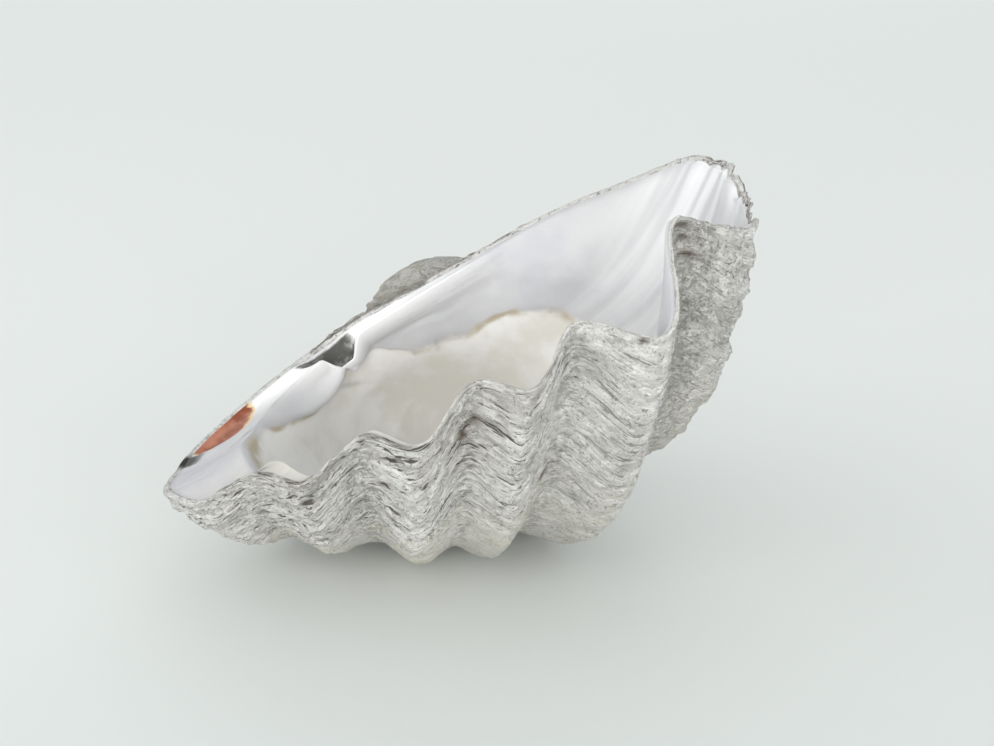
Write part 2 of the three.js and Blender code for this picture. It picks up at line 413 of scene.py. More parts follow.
def rounded(points, amount):
    """Rounds each row towards an oval: 0 leaves it, 1 gives the oval."""
    waves = np.fft.rfft(points[:, :-1], axis=1)
    waves[:, OVAL_WAVES:] = 0
    oval = np.fft.irfft(waves, n=points.shape[1] - 1, axis=1)
    oval = np.concatenate([oval, oval[:, :1]], axis=1)
    return points + (oval - points) * amount[:, None, None]


def column_places():
    """Places of the columns round the line, closer together along the fluted free edge."""
    share = np.linspace(0, 1, PLACE_STEPS + 1)
    weight = 1 + EXTRA_COLUMNS * band(FREE_EDGE_BAND, share)
    total = np.concatenate([[0], np.cumsum((weight[1:] + weight[:-1]) / 2)])
    return np.interp(np.linspace(0, 1, COLUMNS + 1), total / total[-1], share)


def growth_space(around, turn):
    """Seamless growth coordinates in metres."""
    angle = 2 * np.pi * around
    level = turn + 0 * around
    return np.stack(
        [GROWTH_RADIUS * np.cos(angle), GROWTH_RADIUS * np.sin(angle), GROWTH_ARM * level], -1
    )


def wavy(space, grain):
    """Smooth noise from about -1 to 1, by the name of its grain."""
    scale, octaves, shift = GRAINS[grain]
    flat = (space * np.array(scale) + shift).reshape(-1, 3)
    made = [noise.fractal(spot, 1.0, 2.0, octaves) for spot in flat.tolist()]
    return np.array(made).reshape(space.shape[:-1])


def lamella(level, sharpness):
    """Depth below the edge of the growth layer above: 1 just under it, 0 at the layer's own."""
    share = np.mod(level, 1)
    return smooth_step(0, 0.18, share) * (1 - share) ** sharpness


def porous(around):
    """Share of crumbly, spongy chalk: most at the tall end, none past the second fold."""
    lost = sum(share * smooth_step(start, end, around) for share, start, end in SPONGY_LOSSES)
    return smooth_step(*SPONGY_COMES, around) * np.maximum(1 - lost, 0)


def crusted(around):
    """Where the edge keeps a dark, flaky crust."""
    return sum(band(places, around) for places in CRUST_BANDS)


def growth_level(around, turn):
    """Radians of growth, bent so that the layers arch over every fold."""
    return turn + LAYER_ARCH * fold_size(around, 2) * (1 - np.exp(-turn / LAYER_ARCH_REACH))


def growth_relief(around, turn):
    """Millimetres the outer wall sinks in between its growth layers, never negative."""
    space = growth_space(around, growth_level(around, turn))
    level = space[..., 2]
    near_edge = np.exp(-turn / EDGE_REACH)
    warp = wavy(space, "warp")
    fine = lamella(level * FINE_LAYERS + 1.3 * warp, 1.0)
    fine = fine * np.clip(0.6 + 1.6 * wavy(space, "broken layers"), 0.0, 1)
    coarse = lamella(level * COARSE_LAYERS + 1.5 * wavy(space, "coarse warp"), 0.8)
    coarse *= np.clip(0.6 + 1.5 * wavy(space, "broken coarse layers"), 0.0, 1.2)
    lumps = np.clip(0.5 + wavy(space, "lumps"), 0, 1)
    rough = np.clip(0.5 + 0.9 * wavy(space, "rough"), 0, 1)
    holes = np.clip(wavy(space, "holes") - 0.4, 0, 1) * HOLE_DEPTH
    crumbs = np.clip(0.4 + 1.7 * wavy(space, "crumbs"), 0, 1.3)
    spongy = porous(around)
    layers = (FINE_DEPTH + FINE_DEPTH_AT_EDGE * near_edge) * fine
    layers = layers + (COARSE_DEPTH + COARSE_DEPTH_AT_EDGE * near_edge) * coarse
    layers *= 1 - 0.6 * spongy + 0.8 * crusted(around) * near_edge
    layers += CRUMB_DEPTH * spongy * crumbs
    chalky = ROUGH_DEPTH * rough + LUMP_DEPTH * lumps
    smooth_base = 1 - (0.6 - 0.4 * spongy) * smooth_step(*BASE_SMOOTHS, turn)
    wrinkle = wavy(space, "wrinkles") + 0.35 * np.sin(level * BEAK_CREASES + 3 * warp)
    beak = smooth_step(*BEAK_WRINKLES_COME, turn)
    weathered = (layers + chalky + holes) * smooth_base * (1 - beak)
    return np.clip(weathered + beak * (BEAK_DEPTH + BEAK_WRINKLE * wrinkle), 0, RELIEF_MOST)


def wall_thickness(around, turn):
    """Millimetres of wall between the outside and the bowl, square to the wall."""
    shown = np.minimum(turn, BOWL_TURN)
    gap = outside_points(around, shown) - bowl_points(around, shown)
    return (gap * turned(wall_normal(swing(around, shown)), shown)).sum(-1)


def room_in_box(spots):
    """Millimetres between points of the wall and the sides and top of the frame's box."""
    placed = settled(spots) - frame_offset()
    low, high = np.array(CAD_BOX) / MM
    sides = np.minimum(placed - low, high - placed)[..., :2].min(-1)
    return np.minimum(sides, high[2] - placed[..., 2])


def outside_rows(places, chip, sizes):
    """The outer wall from the point of the beak to the edge, with its growth layers."""
    share = np.linspace(1, 0, OUTSIDE_ROWS + 1)
    turn = np.interp(share, *ROWS_REACH)[:, None] + 0 * places[None, :]
    turn = turn + chip * np.exp(-turn / CHIP_REACH)
    around = places[None, :] + 0 * turn
    spots = outside_points(around, turn)
    normal = turned(wall_normal(swing(around, turn)), turn)
    room = ROOM_USED * room_in_box(spots) - ROOM_MARGIN
    stand = np.clip(room, -ROOM_MARGIN, sizes.layer_stand / MM)
    allowed = RELIEF_PER_WALL * (wall_thickness(around, turn) + stand)
    allowed = np.maximum(np.clip(allowed, LEAST_RELIEF, 1), smooth_step(*WALL_IS_SOLID, turn))
    relief = growth_relief(around, turn) * (1 - 0.5 * smooth_step(*POLE_SMOOTHS, turn))
    sunk = relief * smooth_step(*EDGE_SOFTENS, turn)
    shift = stand * smooth_step(*EDGE_SOFTENS, turn) - sunk * allowed * sizes.layer_depth
    spots = spots + normal * shift[..., None]
    closing = np.clip((turn[:, 0] - BEAK_TURN) / (COIL_TURN - BEAK_TURN), 0, 1)
    closing[0] = 1
    return drawn_in(spots, closing), around, turn, sunk


def chipped(places):
    """Radians of growth chipped off the edge, more where it is thin at the tall end."""
    space = growth_space(places, places * 0)
    chips = CHIP_MOST * np.clip(wavy(space, "chips"), 0, 1)
    bites = np.clip(wavy(space, "bites") + 0.15, 0, 1)
    return WORN_EDGE + chips + bites * (BITE_MOST + THIN_BITE_MOST * band(CHIPPED_BAND, places))


def lip_rows(places, outer, mouth, sizes):
    """The lip from its outer edge to its inner one, rounded, layered and chipped."""
    inward = mouth - outer
    reach = np.linalg.norm(inward, axis=-1, keepdims=True)
    inner = outer + inward * np.minimum(RIM_THICKNESS, reach * LIP_MOST) / reach
    share = np.linspace(0, 1, LIP_ROWS + 1)[1:, None]
    spots = outer + (inner - outer) * share[..., None]
    around = places[None, :] + 0 * share
    space = growth_space(around, share * LIP_GROWTH + 0 * around)
    arch = np.sin(np.pi * share) ** LIP_ROUNDNESS
    spots[..., 2] += arch * (1 + 0.5 * wavy(space, "flakes")) * sizes.lip_rise / MM
    return spots, around, share


def plate_rows(places, inner, mouth):
    """The hinge plate and the narrow ledge round the rest of the mouth."""
    share = np.linspace(0, 1, PLATE_ROWS + 1)[1:-1, None]
    spots = inner + (mouth - inner) * share[..., None]
    width = np.clip(np.linalg.norm(mouth - inner, axis=-1) / WIDE_PLATE, 0, 1)
    around = places[None, :] + 0 * share
    sag = PLATE_SAG * 4 * share * (1 - share) * width
    groove = LIGAMENT_GROOVE * smooth_step(-0.08, 0.05, ligament_reach(around) - share)
    pit = pit_depth(around, share) - share * pit_depth(around, 1 + 0 * share)
    spots[..., 2] -= sag + pit + groove
    return spots, around, share + 0 * around


def marks_at(marks, around, level):
    """Strength of single marks: 1 at their middles, fading out over their reach."""
    return sum(
        np.exp(-(((around - place) / wide) ** 2) - ((level - at) / tall) ** 2)
        for place, at, wide, tall in marks
    )


def ligament_reach(around):
    """Share of the plate that the ligament's scar reaches across, -1 where there is none."""
    return np.interp(around, LIGAMENT[:, 0], LIGAMENT[:, 1], left=-1, right=-1)


def below_mantle_line(around, turn):
    """Radians of growth past the line where the mantle was attached, negative above it."""
    return turn - np.interp(around, MANTLE_LINE[:, 0], MANTLE_LINE[:, 1])


def bowl_rows(places, chip, sizes):
    """The inside of the bowl from its mouth down to its closed middle."""
    share = np.linspace(0, 1, BOWL_ROWS + 1)
    turn = (BOWL_TURN * share)[:, None] + 0 * places[None, :]
    turn = turn + chip * np.exp(-turn / CHIP_REACH_INSIDE)
    around = places[None, :] + 0 * turn
    closing = np.clip((share - BOWL_STRAIGHT) / (1 - BOWL_STRAIGHT), 0, 1)
    spots = bowl_points(around, turn)
    inwards = -turned(wall_normal(swing(around, turn)), turn)
    spots = spots + inwards * bowl_relief(around, turn, sizes)[..., None]
    spots = rounded(spots, smooth_step(*BOWL_ROUNDS, turn[:, 0]))
    return drawn_in(spots, closing), around, turn


def bowl_relief(around, turn, sizes):
    """Millimetres the inside stands up: flutes at the tall end, the hinge ridge and a step."""
    flutes = sum(0.5 * np.sin(2 * np.pi * around * count) for count in FLUTES_ROUND)
    flutes = flutes * band(FLUTE_BAND, around) * sizes.flute_height / MM
    flutes = flutes * np.exp(-turn / FLUTE_REACH) * smooth_step(0.0, 0.15, turn)
    comes = smooth_step(*BOWL_RELIEF_COMES, turn)
    gap = below_mantle_line(around, turn)
    ridge = band(HINGE_RIDGE_BAND, around) * sizes.tooth_height / MM
    ridge = ridge * np.exp(-((gap + RIDGE_ABOVE_LINE) / RIDGE_WIDTH) ** 2) * comes
    step = MANTLE_STEP * smooth_step(-0.02, 0.05, gap) * (1 - smooth_step(1.4, 1.8, turn))
    uneven = BOWL_UNEVENNESS * wavy(growth_space(around, turn), "bowl") * comes
    return (flutes + ridge - step + uneven) * (1 - smooth_step(*BOWL_RELIEF_GOES, turn))


def settled(points):
    """Turns the valve from its own plane to the way it rests, in millimetres."""
    pitch = np.array([
        [math.cos(PITCH), 0, -math.sin(PITCH)],
        [0, 1, 0],
        [math.sin(PITCH), 0, math.cos(PITCH)],
    ])
    yaw = np.array([
        [math.cos(YAW), -math.sin(YAW), 0],
        [math.sin(YAW), math.cos(YAW), 0],
        [0, 0, 1],
    ])
    return points @ (yaw @ pitch).T


def valve_rows(sizes):
    """All rows of the valve, with the place, growth, zone and relief of every vertex."""
    places = column_places()
    chip = chipped(places)
    mouth = bowl_points(places, chip)
    outside, around_o, turn_o, relief = outside_rows(places, chip, sizes)
    lip, around_l, share_l = lip_rows(places, outside[-1], mouth, sizes)
    plate, around_p, share_p = plate_rows(places, lip[-1], mouth)
    bowl, around_b, turn_b = bowl_rows(places, chip, sizes)
    points = np.concatenate([outside, lip, plate, bowl])
    around = np.concatenate([around_o, around_l, around_p, around_b])
    rows = [len(outside), len(lip), len(plate), len(bowl)]
    zone = np.repeat([OUTSIDE, LIP, PLATE, BOWL], rows)[:, None] + 0 * around
    turn = np.concatenate([turn_o, 0 * around_l - LIP_GROWTH * share_l, share_p, turn_b])
    sunk = np.concatenate([relief, 0 * around_l, 0 * around_p, 0 * around_b])
    return points, around, turn, zone, sunk


def frame_offset():
    """Where the settled shape sits in the frame, from the solid's own box."""
    around = np.linspace(0, 1, SOLID_COLUMNS + 1)[:-1][None, :]
    share = np.linspace(1, 0, SOLID_ROWS)[:, None]
    turn = COIL_TURN * share ** SOLID_CROWDING + 0 * around
    spots = outside_points(around + 0 * turn, turn)
    closing = (turn[:, 0] - BEAK_TURN) / (COIL_TURN * SOLID_TIP - BEAK_TURN)
    spots = settled(drawn_in(spots, np.clip(closing, 0, 1))).reshape(-1, 3)
    low, high = spots.min(0), spots.max(0)
    return np.array([(low[0] + high[0]) / 2, (low[1] + high[1]) / 2, low[2] + WORN])


# ---- node helpers ---------------------------------------------------------------------------


class Nodes:
    """Adds and joins nodes in a material or a node group."""

    def __init__(self, tree):
        self.tree = tree

    def add(self, kind, inputs=None, **settings):
        node = self.tree.nodes.new(kind)
        for key, value in settings.items():
            setattr(node, key, value)
        for key, value in (inputs or {}).items():
            self.feed(node.inputs[key], value)
        return node

    def feed(self, socket, value):
        if isinstance(value, bpy.types.NodeSocket):
            self.tree.links.new(value, socket)
        elif isinstance(value, bpy.types.Node):
            self.tree.links.new(value.outputs[0], socket)
        else:
            socket.default_value = value

    def maths(self, operation, first, second=0.0, clamp=False):
        node = self.add("ShaderNodeMath", operation=operation, use_clamp=clamp)
        self.feed(node.inputs[0], first)
        self.feed(node.inputs[1], second)
        return node.outputs[0]

    def times(self, first, *others):
        for other in others:
            first = self.maths("MULTIPLY", first, other)
        return first

    def plus(self, first, second):
        return self.maths("ADD", first, second)

    def minus(self, first, second):
        return self.maths("SUBTRACT", first, second)

    def remap(self, value, low, high, to_low=0.0, to_high=1.0):
        ends = {"Value": value, "From Min": low, "From Max": high}
        ends.update({"To Min": to_low, "To Max": to_high})
        node = self.add("ShaderNodeMapRange", ends, interpolation_type="SMOOTHSTEP")
        return node.outputs[0]

    def mix(self, share, first, second):
        node = self.add("ShaderNodeMix", data_type="RGBA")
        self.feed(node.inputs[0], share)
        self.feed(node.inputs[6], first)
        self.feed(node.inputs[7], second)
        return node.outputs[2]

    def paint(self, base, layers):
        """Lays colours over a base, each with its own mask."""
        for share, colour in layers:
            base = self.mix(share, base, rgba(colour))
        return base

    def bump(self, ups, downs, strength, distance):
        """Normals from masks that raise the surface and masks that lower it, with their sizes."""
        height = self.times(*ups[0])
        for mask, size in ups[1:]:
            height = self.plus(height, self.times(mask, size))
        for mask, size in downs:
            height = self.minus(height, self.times(mask, size))
        ends = {"Height": height, "Strength": strength, "Distance": distance}
        return self.add("ShaderNodeBump", ends).outputs[0]

    def noise(self, vector, scale, detail=3.0, roughness=0.55, distortion=0.0):
        ends = {"Vector": vector, "Scale": scale, "Detail": detail}
        ends.update({"Roughness": roughness, "Distortion": distortion})
        return self.add("ShaderNodeTexNoise", ends).outputs[0]

    def stretched(self, vector, scale):
        node = self.add("ShaderNodeMapping", {"Vector": vector, "Scale": scale})
        return node.outputs[0]

    def attribute(self, name):
        node = self.add("ShaderNodeAttribute", attribute_name=name)
        return node.outputs["Fac"]

    def growth(self):
        """Growth coordinates of the wall."""
        return self.add("ShaderNodeAttribute", attribute_name="growth").outputs["Vector"]

    def place(self):
        """Place in the frame, in metres."""
        return self.add("ShaderNodeTexCoord").outputs["Object"]


def new_group(name, inputs, outputs):
    group = bpy.data.node_groups.new(name, "ShaderNodeTree")
    for label, kind, default in inputs:
        socket = group.interface.new_socket(label, in_out="INPUT", socket_type=kind)
        if default is not None:
            socket.default_value = default
    for label, kind in outputs:
        group.interface.new_socket(label, in_out="OUTPUT", socket_type=kind)
    nodes = Nodes(group)
    start = nodes.add("NodeGroupInput")
    end = nodes.add("NodeGroupOutput")
    return group, nodes, start, end


FLOAT = "NodeSocketFloat"
VECTOR = "NodeSocketVector"


def mottle_group():
    """Soft cloudy variation at two sizes, about a mean of one half."""
    group, nodes, start, end = new_group(
        "Mottle", [("Vector", VECTOR, None), ("Scale", FLOAT, 20.0)], [("Mask", FLOAT)]
    )
    broad = nodes.noise(start.outputs["Vector"], start.outputs["Scale"], 3.0)
    smaller = nodes.times(start.outputs["Scale"], 5.0)
    fine = nodes.noise(start.outputs["Vector"], smaller, 4.0)
    nodes.feed(end.inputs["Mask"], nodes.plus(nodes.times(broad, 0.6), nodes.times(fine, 0.4)))
    return group


def speck_group():
    """Scattered small specks of uneven size: 1 on a speck, 0 elsewhere."""
    group, nodes, start, end = new_group(
        "Specks",
        [("Vector", VECTOR, None), ("Scale", FLOAT, 200.0), ("Amount", FLOAT, 0.3)],
        [("Mask", FLOAT)],
    )
    vector = start.outputs["Vector"]
    scale = start.outputs["Scale"]
    cells = nodes.add("ShaderNodeTexVoronoi", {"Vector": vector, "Scale": scale})
    spread = nodes.noise(vector, nodes.times(scale, 0.3), 3.0)
    edge = nodes.times(start.outputs["Amount"], nodes.remap(spread, 0.42, 0.68))
    inside = nodes.minus(edge, cells.outputs["Distance"])
    nodes.feed(end.inputs["Mask"], nodes.maths("MULTIPLY", inside, 10.0, clamp=True))
    return group


def streak_group():
    """Broken lines that follow the growth of the wall: 1 on a line, 0 between."""
    group, nodes, start, end = new_group(
        "Growth streaks",
        [
            ("Growth", VECTOR, None), ("Along", FLOAT, 40.0), ("Across", FLOAT, 500.0),
            ("Low", FLOAT, 0.55), ("High", FLOAT, 0.68),
        ],
        [("Mask", FLOAT), ("Height", FLOAT)],
    )
    along = start.outputs["Along"]
    scale = nodes.add("ShaderNodeCombineXYZ", {"X": along, "Y": along, "Z": start.outputs["Across"]})
    vector = nodes.add("ShaderNodeVectorMath", operation="MULTIPLY")
    nodes.feed(vector.inputs[0], start.outputs["Growth"])
    nodes.feed(vector.inputs[1], scale.outputs[0])
    lines = nodes.noise(vector.outputs[0], 1.0, 4.0, 0.6, 0.6)
    mask = nodes.remap(lines, start.outputs["Low"], start.outputs["High"])
    nodes.feed(end.inputs["Mask"], mask)
    nodes.feed(end.inputs["Height"], lines)
    return group


def put_group(nodes, group, inputs):
    return nodes.add("ShaderNodeGroup", inputs, node_tree=group)


def new_material(name):
    material = bpy.data.materials.new(name)
    material.use_nodes = True
    tree = material.node_tree
    tree.nodes.clear()
    nodes = Nodes(tree)
    shader = nodes.add("ShaderNodeBsdfPrincipled")
    output = nodes.add("ShaderNodeOutputMaterial")
    nodes.feed(output.inputs["Surface"], shader.outputs[0])
    return material, nodes, shader


def rgba(colour):
    return (*colour, 1.0)


# ---- materials ------------------------------------------------------------------------------

# Growth streaks by name: scale along the line, scale across it, where a line starts and is full.
STREAKS = {
    "wide": (20.0, 320.0, 0.55, 0.68),
    "thin": (74.0, 780.0, 0.58, 0.63),
    "specks": (380.0, 800.0, 0.61, 0.66),
    "holes": (120.0, 240.0, 0.71, 0.76),
    "creases": (24.0, 60.0, 0.48, 0.6),
}
CHALK_BUMP = 0.004
PEARL_BUMP = 0.002


def blotches(nodes, groups, base, colours):
    """Pale and greenish clouds over a chalky colour, with greenish-grey painted shadow in the grooves
    between the folds.
    """
    place = nodes.place()
    cloud = put_group(nodes, groups["mottle"], {"Vector": place, "Scale": 38.0})
    tinge = nodes.noise(place, 16.0, 2.0)
    # Painted shadow: the grooves between the folds turn greenish grey, on top of a random greenish
    # tinge.
    groove = nodes.remap(nodes.attribute("crest"), -0.15, -0.7, 0.0, 0.6)
    mossy_tint_and_groove_shadow = nodes.maths("ADD", groove, nodes.remap(tinge, 0.5, 0.7, 0.0, 0.45), clamp=True)
    return nodes.paint(base, [
        (nodes.remap(cloud.outputs[0], 0.42, 0.62, 0.0, 0.75), colours.pale),
        (nodes.times(mossy_tint_and_groove_shadow, 0.7), colours.mossy_tint_and_groove_shadow),
    ])


def chalk_material(colours, groups):
    """Weathered outside: chalky, with dark broken growth lines, pits and a creamy base, painted
    shadow in its hollows and grooves and a painted highlight on its raised grain.
    """
    material, nodes, shader = new_material("chalky_outside")
    masks = chalk_masks(nodes, groups)
    low = nodes.remap(masks["turn"], 0.24, 0.52)
    base = nodes.mix(low, rgba(colours.chalk), rgba(colours.cream))
    base = blotches(nodes, groups, base, colours)
    base = nodes.paint(base, old_chalk(nodes, masks, colours))
    base = nodes.paint(base, spongy_chalk(nodes, masks, colours))
    base = nodes.paint(base, dark_lines(nodes, masks, colours, low))
    nodes.feed(shader.inputs["Base Color"], base)
    shader.inputs["Roughness"].default_value = 0.9
    shader.inputs["Specular IOR Level"].default_value = 0.2
    ups = [(masks["rough"], 1.6)]
    downs = [
        (masks["wide height"], 1.0), (masks["thin height"], 0.8), (masks["specks"], 0.3),
        (masks["holes"], 0.5), (masks["creased"], 1.0), (masks["porous"], 0.8), (masks["veins"], 0.3),
    ]
    nodes.feed(shader.inputs["Normal"], nodes.bump(ups, downs, 1.0, CHALK_BUMP))
    return material


def chalk_masks(nodes, groups):
    """Masks of the outside by name, for its colour and its bump."""
    place = nodes.place()
    growth = nodes.growth()
    turn = nodes.attribute("turn")
    spongy = nodes.attribute("spongy")
    crust = nodes.attribute("crust")
    masks = {"turn": turn, "spongy": spongy, "crust": crust}
    for name, (along, across, low, high) in STREAKS.items():
        ends = {"Growth": growth, "Along": along, "Across": across, "Low": low, "High": high}
        streak = put_group(nodes, groups["streaks"], ends)
        masks[name] = streak.outputs["Mask"]
        masks[name + " height"] = streak.outputs["Height"]
    masks["rough"] = nodes.noise(place, 330.0, 6.0, 0.7)
    masks["old"] = nodes.remap(turn, 1.3, 1.9)
    masks["creased"] = nodes.times(masks["old"], masks["creases"], 0.38)
    masks["edge"] = nodes.maths("ADD", nodes.remap(turn, 0.01, 0.035), crust, clamp=True)
    crumbs = nodes.noise(place, 150.0, 5.0, 0.7, 0.5)
    masks["porous"] = nodes.times(nodes.remap(crumbs, 0.46, 0.36), spongy)
    veins = nodes.maths("ABSOLUTE", nodes.minus(crumbs, 0.5))
    masks["veins"] = nodes.times(nodes.remap(veins, 0.022, 0.0), spongy)
    pores = put_group(nodes, groups["specks"], {"Vector": place, "Scale": 600.0, "Amount": 0.5})
    masks["pores"] = nodes.times(pores.outputs[0], nodes.maths("ADD", spongy, 0.25, clamp=True))
    flaky = nodes.noise(nodes.stretched(growth, (50.0, 50.0, 260.0)), 1.0, 4.0, 0.65, 0.5)
    masks["flaky"] = nodes.times(nodes.remap(flaky, 0.47, 0.6), crust)
    return masks


def old_chalk(nodes, masks, colours):
    """Paint layers of a painted highlight on the raised grain, the grey of the old beak, the creased
    beak and the pale edge.
    """
    return [
        # Painted highlight: the raised points of the grain, which the bump lifts, are lightened.
        (nodes.times(nodes.remap(masks["rough"], 0.48, 0.6), 0.75), colours.pale),
        (nodes.times(masks["old"], 0.18), colours.crevice_shadow_and_beak_grey),
        (masks["creased"], colours.umbo),
        (nodes.remap(masks["edge"], 1.0, 0.0, 0.0, 0.7), colours.pale),
    ]


def spongy_chalk(nodes, masks, colours):
    """Paint layers of the crumbly chalk, painted shadow in its hollows and cracks and in the grooves
    between the folds, and the flaky crust.
    """
    # Painted shadow in the grooves between the folds, broken up by the grain.
    groove = nodes.times(nodes.remap(nodes.attribute("crest"), -0.18, -0.42), 0.6)
    return [
        (nodes.times(masks["spongy"], 0.6), colours.pale),
        # Painted shadow in the hollows and cracks of the crumbly chalk, which the bump sinks.
        (nodes.times(masks["porous"], 0.22), colours.crevice_shadow_and_beak_grey),
        (nodes.times(masks["veins"], 0.6), colours.crevice_shadow_and_beak_grey),
        (nodes.times(masks["pores"], 0.5), colours.streak),
        (nodes.times(groove, nodes.remap(masks["rough"], 0.56, 0.42)), colours.crevice_shadow_and_beak_grey),
        (nodes.times(masks["flaky"], 0.6), colours.brown),
    ]


def dark_lines(nodes, masks, colours, low):
    """Paint layers of painted shadow in the most sunken relief and in the grain's low points, the
    growth lines (partly painted shadow), holes, the hinge pit's painted shadow and single marks,
    weaker on the smooth base.
    """
    bare = nodes.times(low, nodes.remap(masks["spongy"], 0.0, 1.0, 1.0, 0.3))
    strength = nodes.remap(bare, 0.0, 1.0, 1.0, 0.28)
    strength = nodes.times(strength, nodes.remap(masks["edge"], 0.0, 1.0, 0.4, 1.0))
    strength = nodes.plus(strength, nodes.times(masks["crust"], 0.5))
    strength = nodes.times(strength, nodes.remap(masks["spongy"], 0.0, 1.0, 1.0, 0.22))
    # Painted shadow where the relief sinks most, standing in for occlusion.
    relief_hollow_shadow = nodes.remap(nodes.attribute("sunk"), 3.0, 5.4)
    # Painted shadow in the low points of the grain, which the bump sinks.
    grain_hollow_shadow = nodes.remap(masks["rough"], 0.46, 0.35)
    flecks = nodes.times(masks["specks"], nodes.remap(bare, 0.0, 1.0, 0.66, 0.3))
    flecks = nodes.times(flecks, nodes.remap(masks["spongy"], 0.0, 1.0, 1.0, 0.6))
    return [
        # Painted shadow in the most sunken relief and in the low points of the grain.
        (nodes.times(relief_hollow_shadow, nodes.remap(bare, 0.0, 1.0, 0.45, 0.25)), colours.crevice_shadow_and_beak_grey),
        (nodes.times(grain_hollow_shadow, nodes.remap(bare, 0.0, 1.0, 0.5, 0.25)), colours.crevice_shadow_and_beak_grey),
        # Dark growth lines: partly their own colour, partly painted shadow in the gaps between the
        # layers.
        (nodes.times(masks["wide"], strength, 0.28), colours.streak),
        (nodes.times(masks["thin"], strength, 0.9), colours.streak),
        (flecks, colours.streak),
        (nodes.times(masks["holes"], 0.75), colours.brown),
        # Painted shadow of the hinge pit, and the real dark tip of the scar.
        (nodes.attribute("pit_shadow_and_dark_tip"), colours.pit),
        (nodes.attribute("spot"), colours.brown),
    ]


def pearl_material(colours, groups):
    """Smooth inside: pearly above the mantle line, duller and beige below it, with painted shadow
    inside the near edge and in the hinge pit.
    """
    material, nodes, shader = new_material("pearly_inside")
    place = nodes.place()
    mottle = put_group(nodes, groups["mottle"], {"Vector": place, "Scale": 14.0}).outputs[0]
    warp = nodes.times(nodes.minus(nodes.noise(place, 30.0, 4.0), 0.5), 0.16)
    gap = nodes.plus(nodes.attribute("gap"), warp)
    deep = nodes.remap(gap, -0.03, 0.07)
    line = nodes.times(nodes.remap(gap, -0.05, 0.01), nodes.remap(gap, 0.12, 0.03))
    patchy = nodes.remap(nodes.noise(place, 48.0, 3.0), 0.4, 0.62)
    flutes = nodes.noise(nodes.stretched(nodes.growth(), (75.0, 75.0, 4.0)), 1.0, 2.0, 0.5)
    shine = nodes.times(nodes.remap(flutes, 0.26, 0.7), nodes.attribute("tall"))
    bowl = nodes.mix(nodes.remap(mottle, 0.42, 0.6), rgba(colours.bowl), rgba(colours.bowl_warm))

    base = nodes.mix(nodes.remap(mottle, 0.4, 0.6), rgba(colours.pearl), rgba(colours.lavender))
    base = nodes.paint(base, [
        (shine, colours.flute),
        (nodes.times(nodes.attribute("hinge"), 0.85), colours.hinge),
    ])
    base = nodes.mix(deep, base, bowl)
    base = nodes.paint(base, [
        # Painted shadow inside the near free edge.
        (nodes.attribute("near"), colours.near_rim_shadow),
        (nodes.times(line, patchy, 0.85), colours.mantle_line),
    ])
    ragged = nodes.minus(nodes.noise(place, 130.0, 4.0), 0.5)
    base = ligament_scar(nodes, colours, base, ragged)
    base = paint_pit_shadow_and_tip(nodes, colours, base, ragged)
    base = nodes.paint(base, [(nodes.attribute("spot"), colours.brown)])
    nodes.feed(shader.inputs["Base Color"], base)
    dull = nodes.maths("MAXIMUM", nodes.attribute("near"), nodes.attribute("pit_shadow_and_dark_tip"))
    dull = nodes.maths("MAXIMUM", deep, dull)
    nodes.feed(shader.inputs["Roughness"], nodes.remap(dull, 0.0, 1.0, 0.52, 0.68))
    shader.inputs["Specular IOR Level"].default_value = 0.38
    shader.inputs["Coat Weight"].default_value = 0.06
    shader.inputs["Coat Roughness"].default_value = 0.25
    ups = [(mottle, 1.0), (nodes.noise(place, 260.0, 3.0), 0.15)]
    nodes.feed(shader.inputs["Normal"], nodes.bump(ups, [(deep, 0.3)], 0.5, PEARL_BUMP))
    return material


def ragged_mask(nodes, name, ragged, amount, soft):
    """A vertex mask whose outline is torn by noise."""
    mask = nodes.attribute(name)
    torn = nodes.plus(mask, nodes.times(ragged, amount))
    return nodes.times(torn, nodes.remap(mask, 0.0, soft))


def ligament_scar(nodes, colours, base, ragged):
    """Terracotta scar with an ochre border and pale blotches."""
    scar = ragged_mask(nodes, "ligament", ragged, 0.9, 0.1)
    cloud = nodes.remap(nodes.noise(nodes.place(), 90.0, 4.0), 0.4, 0.65)
    rust = nodes.mix(cloud, rgba(colours.ligament), rgba(colours.ligament_pale))
    rust = nodes.paint(rust, [(nodes.remap(scar, 0.85, 0.55), colours.ochre)])
    return nodes.mix(nodes.remap(scar, 0.3, 0.5), base, rust)


def paint_pit_shadow_and_tip(nodes, colours, base, ragged):
    """Dark cloudy grey in the pit, painted shadow over the beak's grey, and at the real dark tip of
    the plate.
    """
    dark = ragged_mask(nodes, "pit_shadow_and_dark_tip", ragged, 1.2, 0.15)
    cloud = nodes.remap(nodes.noise(nodes.place(), 130.0, 5.0), 0.42, 0.72)
    pit_shadow_and_tip_colour = nodes.mix(cloud, rgba(colours.pit), rgba(colours.umbo))
    return nodes.mix(nodes.remap(dark, 0.2, 0.85), base, pit_shadow_and_tip_colour)


def floor_material(colours):
    """Plain pale floor, darkened towards the front by painted shadow."""
    material, nodes, shader = new_material("studio_floor")
    front = nodes.add("ShaderNodeSeparateXYZ", {"Vector": nodes.place()}).outputs["Y"]
    # Painted shadow: the floor darkens towards the viewer.
    share = nodes.remap(front, 0.2, -0.75)
    base = nodes.mix(share, rgba(colours.floor), rgba(colours.floor_front_shadow))
    nodes.feed(shader.inputs["Base Color"], base)
    shader.inputs["Roughness"].default_value = 0.7
    shader.inputs["Specular IOR Level"].default_value = 0.2
    return material


# ---- building the valve ---------------------------------------------------------------------


